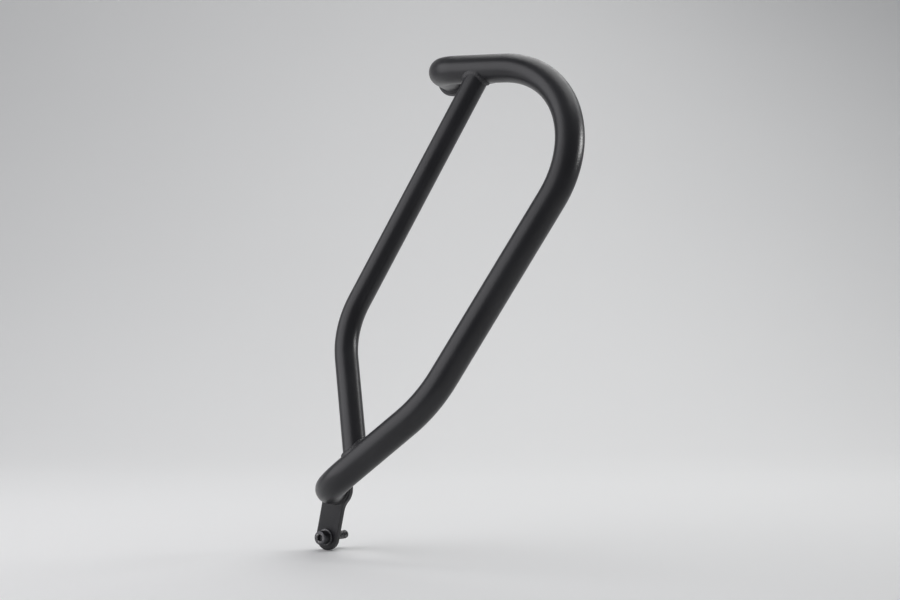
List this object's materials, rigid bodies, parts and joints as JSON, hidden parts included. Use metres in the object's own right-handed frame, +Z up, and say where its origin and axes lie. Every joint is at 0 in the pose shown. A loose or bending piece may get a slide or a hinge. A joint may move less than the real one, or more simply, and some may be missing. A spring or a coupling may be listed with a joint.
{
  "type": "motorcycle crash bar",
  "caption": "Right-hand motorcycle crash bar: a bent steel tube loop with a welded brace tube, mounting plates and bolts, in satin black powder coat.",
  "frame": {"origin": "centre of the lower bolt hole, on the inboard face of the lower mounting plate", "axes": "+X forward on the motorcycle, +Y inboard along both mounting bolts, +Z up"},
  "size_m": [0.2492, 0.2361, 0.4721],
  "materials": {
    "black_coat": "satin powder coat",
    "bolt_steel": "black oxide",
    "washer_steel": "black oxide"
  },
  "bodies": {
    "root": {"main_tube": "black_coat", "brace_tube": "black_coat", "upper_mount_plate": "black_coat", "lower_mount_plate": "black_coat", "brace_welds": "black_coat", "plate_welds": "black_coat", "mounting_bolts": "bolt_steel", "mounting_washers": "washer_steel"}
  },
  "joints": []
}
